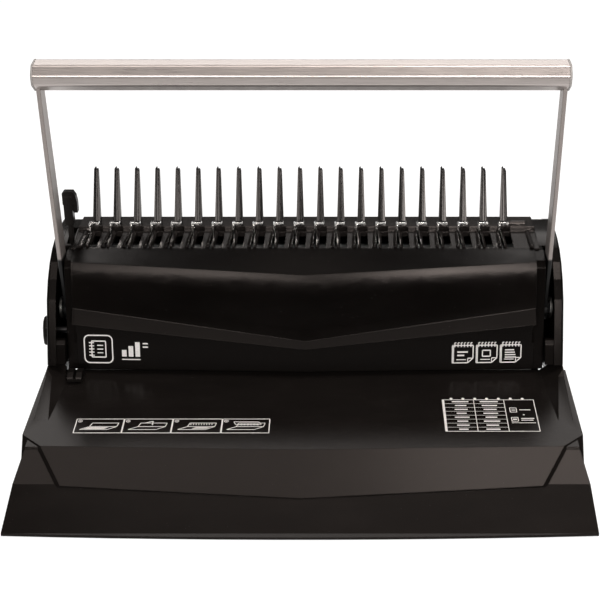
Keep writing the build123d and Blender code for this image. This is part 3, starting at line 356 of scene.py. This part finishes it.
TINT = (1.0, 0.90, 0.85)
MATS = {
    # the edge lightening given to each plastic stands for wear and also paints a highlight along its edges
    "housing_black": plastic("housing_plastic", (0.0018, 0.0014, 0.0012), 0.24, 0.12, TINT, edge_wear_and_highlight=0.35),
    "tray_black": plastic("tray_plastic", (0.0076, 0.0064, 0.0058), 0.22, 0.10, TINT, edge_wear_and_highlight=0.35),
    "deck_black": plastic("deck_plastic", (0.0060, 0.0051, 0.0047), 0.24, 0.40, TINT, grain=2400, strength=0.2, edge_wear_and_highlight=0.6),
    "finger_black": plastic("finger_plastic", (0.0022, 0.0020, 0.0020), 0.14, 0.12, (1, 0.95, 0.92), grain=2600,
                            strength=0.15, edge_wear_and_highlight=0.6, edge=0.0004),
    "trim_black": plastic("trim_plastic", (0.0040, 0.0035, 0.0032), 0.28, 0.14, TINT, strength=0.25, edge_wear_and_highlight=0.7, edge=0.0004),
    "drawer_black": plastic("drawer_plastic", (0.010, 0.0088, 0.0084), 0.42, 0.26, TINT, edge_wear_and_highlight=0.5),
    "cap_grey": plastic("cap_plastic", (0.30, 0.285, 0.275), 0.42, 0.5, (1, 1, 1), strength=0.2, edge_wear_and_highlight=0.3, edge=0.0004),
    "handle_silver": metal("handle_lacquer", (0.44, 0.400, 0.380), 0.30, brushed=(0.05, 1.6, 1.6), metallic=0.75,
                           strength=0.10, dist=0.00002, edge=0, stain=(0.55, 0.52, 0.50), amount=0.20, patch=0.10),
    # the arms get painted shade, near-black below 116.5 mm where they sink into their slots
    "arm_grey": powder("arm_coat", (0.30, 0.270, 0.255), 0.42, metallic=0.45, painted_shade_below_z=0.1165),
    "hook_steel": metal("nickel_plate", (0.86, 0.85, 0.83), 0.16, metallic=1.0, strength=0.12, edge=0.0003,
                        stain=(0.40, 0.38, 0.36), amount=0.3),
    "tool_steel": metal("tool_steel", (0.50, 0.50, 0.50), 0.30, brushed=(0.3, 6.0, 6.0)),
    "frame_steel": metal("zinc_plate", (0.47, 0.48, 0.48), 0.38, stain=(0.25, 0.25, 0.24), amount=0.45, fine_scale=700.0),
    "base_steel": powder("base_coat", (0.018, 0.017, 0.017), 0.50),
    "screw_steel": metal("screw_plate", (0.48, 0.47, 0.45), 0.30, amount=0.35),
    "dark_coat": metal("black_oxide", (0.030, 0.029, 0.029), 0.42, amount=0.25),
    "rubber": plastic("foot_rubber", (0.018, 0.017, 0.017), 0.82, 0.25, (1, 1, 1), grain=900, strength=0.5, edge_wear_and_highlight=0.3),
    "bush_white": plastic("acetal", (0.66, 0.64, 0.60), 0.36, 0.5, (1, 1, 1), strength=0.15, edge_wear_and_highlight=0.0),
}
INK = ink("print_white")


# ------------------------------------------------------ refined solid surfaces
def merged(node):
    bm = bmesh.new()
    bm.from_mesh(NODES[node].data)
    bmesh.ops.remove_doubles(bm, verts=bm.verts, dist=2e-6)
    bmesh.ops.dissolve_limit(bm, angle_limit=math.radians(0.4), use_dissolve_boundaries=False,
                             verts=bm.verts, edges=bm.edges, delimit=set())
    return bm


def closed(bm):
    return all(e.is_manifold for e in bm.edges)


def extent(bm):
    lo = [min(v.co[i] for v in bm.verts) for i in range(3)]
    hi = [max(v.co[i] for v in bm.verts) for i in range(3)]
    return lo, hi


FINISH = {"front_tray": "tray_black", "edge_guide_screw": "dark_coat", "drive_shaft": "dark_coat",
          "opener_cranks": "dark_coat", "punch_cranks": "dark_coat"}


def refine(node, width, segments=2, angle=11.0, sharp=38.0):
    """Closed copy of a CAD node with softened edges; it stands for the node."""
    base = merged(node)
    vol0 = base.calc_volume()
    lo0, hi0 = extent(base)
    chosen = None
    for w in (width, width * 0.6, width * 0.35):
        bm = base.copy()
        edges = [e for e in bm.edges if e.is_manifold and e.calc_face_angle(0.0) > math.radians(angle)
                 and e.calc_length() > w * 0.6]
        try:
            bmesh.ops.bevel(bm, geom=edges, offset=w, offset_type="OFFSET", segments=segments, profile=0.5,
                            affect="EDGES", clamp_overlap=True, miter_outer="SHARP", material=-1)
        except Exception:
            bm.free()
            continue
        lo1, hi1 = extent(bm)
        grown = max(max(lo0[i] - lo1[i], hi1[i] - hi0[i]) for i in range(3))
        dv = abs(bm.calc_volume() - vol0) / max(vol0, 1e-12)
        if closed(bm) and grown < 2e-5 and dv < 0.06 and len(bm.verts) > len(base.verts):
            chosen = bm
            break
        bm.free()
    if chosen is None:
        chosen = base.copy()
    bmesh.ops.triangulate(chosen, faces=[f for f in chosen.faces if len(f.verts) > 4])
    bmesh.ops.recalc_face_normals(chosen, faces=chosen.faces)
    for f in chosen.faces:
        f.smooth = True
    for e in chosen.edges:
        if e.is_manifold and e.calc_face_angle(0.0) > math.radians(sharp):
            e.smooth = False
    me = bpy.data.meshes.new(node + "_shell")
    chosen.to_mesh(me)
    print("refine", node, "verts", len(base.verts), "->", len(chosen.verts))
    chosen.free()
    base.free()
    ob = bpy.data.objects.new(node + "_shell", me)
    scene.collection.objects.link(ob)
    me.materials.append(MATS[FINISH.get(node, SLOT_OF[node])])
    wn = ob.modifiers.new("normals", "WEIGHTED_NORMAL")
    wn.keep_sharp = True
    wn.weight = 60
    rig.ride(ob, NODES[node]["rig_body"])
    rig.replaces(ob, node)
    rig.slot(ob, SLOT_OF[node])
    return ob


REFINED = {
    "front_tray": (0.0009, 3), "front_cover": (0.0006, 2), "comb_deck": (0.0003, 2), "comb_fingers": (0.0003, 2),
    "left_end_cap": (0.0005, 2), "right_end_cap": (0.0005, 2), "rear_cover": (0.0009, 3), "rear_base": (0.0009, 3),
    "left_handle_cap": (0.0003, 2), "right_handle_cap": (0.0003, 2), "left_arm": (0.0003, 2), "right_arm": (0.0003, 2),
    "comb_hooks": (0.0003, 2), "edge_guide": (0.0003, 2), "edge_guide_knob": (0.0005, 2), "comb_stop_lever": (0.0007, 3),
    "hook_stop_strip": (0.0002, 2), "chip_drawer": (0.0007, 2), "base_plate": (0.0002, 2), "rubber_feet": (0.0004, 2),
}
refined = {}
for n, (w, s) in REFINED.items():
    refined[n] = refine(n, w, s)
for n, o in NODES.items():
    if n in REFINED:
        continue
    m = MATS[FINISH.get(n, SLOT_OF[n])]
    if not o.data.materials:
        o.data.materials.append(m)
    for i in range(len(o.material_slots)):
        o.material_slots[i].material = m


# ----------------------------------------------------------------- white print
def surface(node):
    bm = bmesh.new()
    bm.from_mesh(NODES[node].data)
    t = BVHTree.FromBMesh(bm)
    return t, bm


class Print:
    """Flat shapes drawn in millimetres and laid on a surface as thin solids."""

    def __init__(self, node, direction, place):
        self.tree, self.keep = surface(node)
        self.dir = Vector(direction)
        self.place = place            # (u, v) in mm -> start point in metres
        self.bm = bmesh.new()

    def _hit(self, u, v):
        start = self.place(u, v)
        loc, nor, _, _ = self.tree.ray_cast(start, self.dir)
        if loc is None:
            raise RuntimeError("print misses its surface at %.1f, %.1f" % (u, v))
        if nor.dot(self.dir) > 0:
            nor = -nor
        return loc, nor

    def poly(self, pts):
        """Convex outline in mm, as a thin closed prism."""
        top, low = [], []
        for u, v in pts:
            loc, nor = self._hit(u, v)
            top.append(self.bm.verts.new(loc + nor * 0.00005))
            low.append(self.bm.verts.new(loc - nor * 0.00004))
        n = len(pts)
        self.bm.faces.new(top)
        self.bm.faces.new(low[::-1])
        for i in range(n):
            j = (i + 1) % n
            self.bm.faces.new((top[j], top[i], low[i], low[j]))

    def bar(self, a, b, w, step=5.0):
        """Straight line of width w."""
        (x0, y0), (x1, y1) = a, b
        L = math.hypot(x1 - x0, y1 - y0)
        if L < 1e-6:
            return
        n = max(1, int(math.ceil(L / step)))
        ux, uy = (x1 - x0) / L, (y1 - y0) / L
        px, py = -uy * w / 2, ux * w / 2
        for i in range(n):
            s0, s1 = L * i / n, L * (i + 1) / n
            ax, ay, bx, by = x0 + ux * s0, y0 + uy * s0, x0 + ux * s1, y0 + uy * s1
            self.poly([(ax - px, ay - py), (bx - px, by - py), (bx + px, by + py), (ax + px, ay + py)])

    def path(self, pts, w, close=False):
        pts = list(pts)
        if close:
            pts.append(pts[0])
        for a, b in zip(pts, pts[1:]):
            self.bar(a, b, w)

    def ring(self, c, r, w, n=40, a0=0.0, a1=360.0):
        for i in range(n):
            t0 = math.radians(a0 + (a1 - a0) * i / n)
            t1 = math.radians(a0 + (a1 - a0) * (i + 1) / n)
            ri, ro = r - w / 2, r + w / 2
            self.poly([(c[0] + ri * math.cos(t0), c[1] + ri * math.sin(t0)),
                       (c[0] + ri * math.cos(t1), c[1] + ri * math.sin(t1)),
                       (c[0] + ro * math.cos(t1), c[1] + ro * math.sin(t1)),
                       (c[0] + ro * math.cos(t0), c[1] + ro * math.sin(t0))])

    def dot(self, c, r, n=10):
        self.poly([(c[0] + r * math.cos(2 * math.pi * i / n), c[1] + r * math.sin(2 * math.pi * i / n)) for i in range(n)])

    def done(self, name, body="root"):
        bmesh.ops.recalc_face_normals(self.bm, faces=self.bm.faces)
        me = bpy.data.meshes.new(name)
        self.bm.to_mesh(me)
        self.bm.free()
        self.keep.free()
        ob = bpy.data.objects.new(name, me)
        scene.collection.objects.link(ob)
        me.materials.append(INK)
        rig.ride(ob, body)
        return ob


def panel_place(u, v):        # mm: X and height on the upright panel
    return Vector((u / 1000, -0.05, v / 1000))


def tray_place(u, v):         # mm: X and side station on the platform
    return Vector((u / 1000, v / 1000 - YM, 0.2))


# badge: a round-cornered square with a bound sheet inside
pr = Print("front_cover", (0, 1, 0), panel_place)
bx, bz, h = -141.4, 55.4, 9.6
corner = 3.4
sq = []
for cx, cz, a0 in ((h - corner, h - corner, 0), (-h + corner, h - corner, 90), (-h + corner, -h + corner, 180),
                   (h - corner, -h + corner, 270)):
    for k in range(7):
        t = math.radians(a0 + 15 * k)
        sq.append((bx + cx + corner * math.cos(t), bz + cz + corner * math.sin(t)))
pr.path(sq, 0.85, close=True)
pr.path([(bx - 4.6, bz - 5.6), (bx + 5.0, bz - 5.6), (bx + 5.0, bz + 5.6), (bx - 4.6, bz + 5.6)], 0.8, close=True)
for k in range(5):
    pr.bar((bx - 6.4, bz - 4.4 + 2.2 * k), (bx - 2.9, bz - 4.4 + 2.2 * k), 0.8)
for k in range(3):
    pr.bar((bx - 0.8, bz - 2.6 + 2.6 * k), (bx + 3.2, bz - 2.6 + 2.6 * k), 0.7)
# model mark: three rising blocks and a short rule
for k, hh in enumerate((4.6, 7.4, 10.2)):
    x0 = -125.4 + 4.6 * k
    pr.poly([(x0, 50.4), (x0 + 3.2, 50.4), (x0 + 3.2, 50.4 + hh), (x0, 50.4 + hh)])
pr.bar((-111.0, 59.6), (-107.4, 59.6), 1.0)
pr.bar((-111.0, 57.2), (-107.4, 57.2), 1.0)
pr.bar((-125.4, 48.4), (-112.9, 48.4), 0.7)
# three pad symbols
for k, x0 in enumerate((100.3, 116.7, 133.1)):
    w, z0, z1 = 14.2, 46.2, 58.4
    pr.path([(x0, z1), (x0, z0), (x0 + w - 3.6, z0), (x0 + w, z0 + 3.2), (x0 + w, z1)], 0.75, close=True)
    pr.bar((x0 + w - 3.6, z0), (x0 + w - 3.6, z0 + 3.2), 0.6)
    pr.bar((x0 + w - 3.6, z0 + 3.2), (x0 + w, z0 + 3.2), 0.6)
    pr.bar((x0 + 0.5, z0 - 0.2), (x0 + 0.5, z1 + 0.2), 1.2)
    for j in range(6):
        pr.bar((x0 + 1.6 + 2.2 * j, z1 - 1.2), (x0 + 1.6 + 2.2 * j, z1 + 1.9), 0.7)
        pr.bar((x0 + 1.6 + 2.2 * j, z1 + 1.9), (x0 + 2.6 + 2.2 * j, z1 + 1.9), 0.6)
    if k == 0:
        pr.bar((x0 + 3.4, z0 + 7.6), (x0 + 10.6, z0 + 7.6), 1.1)
        pr.bar((x0 + 3.4, z0 + 5.2), (x0 + 8.2, z0 + 5.2), 1.1)
    elif k == 1:
        pr.path([(x0 + 4.2, z0 + 4.4), (x0 + 4.2, z0 + 8.6), (x0 + 9.6, z0 + 8.6), (x0 + 9.6, z0 + 4.4)], 0.8, close=True)
    else:
        for j in range(4):
            pr.bar((x0 + 3.2, z0 + 3.6 + 1.7 * j), (x0 + 11.0 - 0.5 * j, z0 + 3.6 + 1.7 * j), 0.85)
    pr.bar((x0 + 2.8, z0 + 2.2), (x0 + 9.4, z0 + 2.2), 0.6)
pr.done("panel_print")

# platform print: four step pictures and a chart
pr = Print("front_tray", (0, 0, -1), tray_place)
bot_x = [-147.2, -116.2, -84.6, -52.5, -21.6]
Y1, Y0 = 90.7, 75.2
for k in range(4):
    x0, x1 = bot_x[k] + 0.2, bot_x[k + 1] - 0.2
    w = x1 - x0
    pr.path([(x0, Y0), (x1, Y0), (x1, Y1), (x0, Y1)], 0.6, close=True)
    cx, cy = (x0 + x1) / 2, (Y0 + Y1) / 2
    # small side sketch of a housing and its sheet, different in each step
    s = [(cx - 12, cy - 4.0), (cx + 6.0, cy - 4.0), (cx + 11.5, cy - 0.8), (cx - 6.0, cy - 0.8)]
    pr.path(s, 0.5, close=True)
    pr.path([(cx - 6.0, cy - 0.8), (cx - 4.6, cy + 3.2), (cx + 12.4, cy + 3.2), (cx + 11.5, cy - 0.8)], 0.5)
    if k == 0:
        pr.poly([(cx - 9.5, cy - 3.2), (cx + 3.8, cy - 3.2), (cx + 6.6, cy - 1.6), (cx - 6.4, cy - 1.6)])
    elif k == 1:
        pr.bar((cx - 2.0, cy + 3.2), (cx + 3.0, cy + 5.2), 0.7)
        pr.bar((cx + 3.0, cy + 5.2), (cx + 3.0, cy + 0.8), 0.7)
    elif k == 2:
        for j in range(9):
            pr.bar((cx - 4.0 + 1.7 * j, cy + 0.9), (cx - 4.0 + 1.7 * j, cy + 2.6), 0.5)
        pr.poly([(cx - 3.0, cy - 3.0), (cx + 6.2, cy - 3.0), (cx + 8.6, cy - 1.6), (cx - 0.6, cy - 1.6)])
    else:
        pr.path([(cx - 8.0, cy + 4.6), (cx + 8.0, cy + 4.6), (cx + 10.0, cy + 1.6), (cx - 6.6, cy + 1.6)], 0.5, close=True)
        for j in range(7):
            pr.ring((cx - 5.0 + 2.1 * j, cy + 1.5), 0.7, 0.35, n=10)
    pr.ring((x0 + 2.4, Y1 - 2.4), 1.2, 0.4, n=14)
    pr.dot((x0 + 2.4, Y1 - 2.4), 0.45)
# chart
cxl, cxr = 91.6, 152.2
cy0, cy1 = 77.0, 113.0
rows = 8
pr.path([(cxl, cy0), (cxr, cy0), (cxr, cy1), (cxl, cy1)], 0.5, close=True)
pr.bar((cxl + 0.7, cy0), (cxl + 0.7, cy1), 1.2)
for c in (112.4, 132.4):
    pr.bar((c, cy0), (c, cy1), 0.45)
for r in range(1, rows):
    y = cy0 + (cy1 - cy0) * r / rows
    pr.bar((cxl, y), (132.4, y), 0.22)
for r in range(rows):
    y = cy0 + (cy1 - cy0) * (r + 0.5) / rows
    l1 = (6.0, 8.0, 7.0, 9.5, 6.5, 8.5, 7.5, 11.0)[r]
    l2 = (9.0, 8.0, 10.5, 7.5, 9.5, 8.5, 10.0, 12.0)[r]
    pr.bar((103.4 - l1 / 2, y), (103.4 + l1 / 2, y), 1.15)
    pr.bar((122.4 - l2 / 2, y), (122.4 + l2 / 2, y), 1.15)
for k in range(7):
    pr.dot((97.6 + 7.9 * k, cy1 + 1.3), 1.05)
pr.path([(135.4, 98.6), (139.6, 98.6), (139.6, 103.6), (135.4, 103.6)], 0.5, close=True)
pr.bar((136.3, 100.4), (138.8, 100.4), 0.45)
pr.bar((136.3, 102.0), (138.8, 102.0), 0.45)
pr.bar((141.6, 101.2), (148.8, 101.2), 0.8)
pr.dot((143.8, 95.6), 0.6)
pr.path([(135.4, 88.2), (139.6, 88.2), (139.6, 92.6), (135.4, 92.6)], 0.5, close=True)
pr.bar((136.2, 90.4), (138.8, 90.4), 1.3)
pr.bar((141.6, 91.4), (150.2, 91.4), 0.7)
pr.bar((141.6, 89.4), (149.4, 89.4), 0.7)
pr.bar((135.0, 86.4), (150.6, 86.4), 0.5)
pr.done("tray_print")

# ---------------------------------------------------------------- stage, light
me = bpy.data.meshes.new("floor")
bm = bmesh.new()
bmesh.ops.create_grid(bm, x_segments=2, y_segments=2, size=6.0)
bm.to_mesh(me)
bm.free()
floor = bpy.data.objects.new("floor", me)
scene.collection.objects.link(floor)
ft = Tree("floor_pale")
ft.bsdf.inputs["Roughness"].default_value = 0.9
ft.bsdf.inputs["Specular IOR Level"].default_value = 0.1
fn = ft.noise(3.0, 2.0)
fc = ft.ramp(fn, "Fac", [(0.3, (0.30, 0.30, 0.30)), (0.7, (0.33, 0.33, 0.33))])
ft.link(fc, "Color", ft.bsdf, "Base Color")
ft.bsdf.inputs["Emission Color"].default_value = (1, 1, 1, 1)
ft.bsdf.inputs["Emission Strength"].default_value = 0.88
me.materials.append(ft.mat)
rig.stage(floor)

me = bpy.data.meshes.new("flag")
bm = bmesh.new()
bm.faces.new([bm.verts.new(v) for v in ((-0.9, -0.50, 0.0), (0.9, -0.50, 0.0), (0.9, -0.50, 0.25), (-0.9, -0.50, 0.25))])
bm.to_mesh(me)
bm.free()
flag = bpy.data.objects.new("flag", me)
scene.collection.objects.link(flag)
bt = Tree("flag_black")
bt.bsdf.inputs["Roughness"].default_value = 1.0
bt.bsdf.inputs["Specular IOR Level"].default_value = 0.0
bn = bt.noise(40.0, 2.0)
bc = bt.ramp(bn, "Fac", [(0.3, (0.004, 0.004, 0.004)), (0.7, (0.006, 0.006, 0.006))])
bt.link(bc, "Color", bt.bsdf, "Base Color")
me.materials.append(bt.mat)
flag.visible_camera = False
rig.stage(flag)

world = bpy.data.worlds.new("studio")
scene.world = world
world.use_nodes = True
bg = world.node_tree.nodes["Background"]
bg.inputs["Color"].default_value = (1.0, 0.97, 0.95, 1)
bg.inputs["Strength"].default_value = 0.055


def area(name, loc, target, size, energy, color=(1, 1, 1)):
    d = bpy.data.lights.new(name, "AREA")
    d.shape = "RECTANGLE"
    d.size, d.size_y = size
    d.energy = energy
    d.color = color
    o = bpy.data.objects.new(name, d)
    scene.collection.objects.link(o)
    o.location = loc
    o.rotation_mode = "QUATERNION"
    o.rotation_quaternion = (Vector(target) - Vector(loc)).to_track_quat("-Z", "Y")
    return o


area("top_left", (-0.35, -0.17, 1.35), (-0.35, -0.15, 0.0), (0.95, 0.30), 3.6, (1.0, 0.93, 0.89))
area("top_softbox", (0.50, -0.17, 1.35), (0.50, -0.15, 0.0), (0.75, 0.30), 8.8, (1.0, 0.93, 0.89))
area("top_back", (0.05, 0.44, 1.35), (0.05, 0.02, 0.15), (1.0, 0.14), 0.9, (1.0, 0.93, 0.89))
area("front_top", (-0.1, -1.15, 1.15), (0, 0, 0.08), (1.2, 0.6), 2.6, (1.0, 0.96, 0.94))
area("front_right", (0.28, -1.1, 0.63), (0.1, 0, 0.12), (0.22, 0.22), 6.5, (1.0, 0.95, 0.92))
area("front_left", (-0.27, -1.1, 0.63), (-0.1, 0, 0.12), (0.34, 0.22), 4.4, (1.0, 0.95, 0.92))
area("back_top", (0.0, 1.55, 1.45), (0, 0, 0.2), (2.0, 0.6), 15.0, (1.0, 0.97, 0.95))
area("left_low", (-1.25, 0.85, 0.28), (-0.15, -0.05, 0.03), (0.6, 0.4), 1.0, (1.0, 0.97, 0.95))

cam_data = bpy.data.cameras.new("camera")
cam = bpy.data.objects.new("camera", cam_data)
scene.collection.objects.link(cam)
cam.location = (0.027, -0.7685, 0.4473)
cam.rotation_euler = (math.radians(66.0), 0, 0)
cam_data.sensor_width = 36.0
cam_data.lens = 78.0
cam_data.shift_x = -0.075
cam_data.clip_start = 0.05
scene.camera = cam

scene.view_settings.view_transform = "Standard"

out_lo, out_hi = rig.bounds()
with open("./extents.json", "w") as f:
    json.dump({"cad": CAD_BOX, "visual": [list(map(float, out_lo)), list(map(float, out_hi))]}, f)
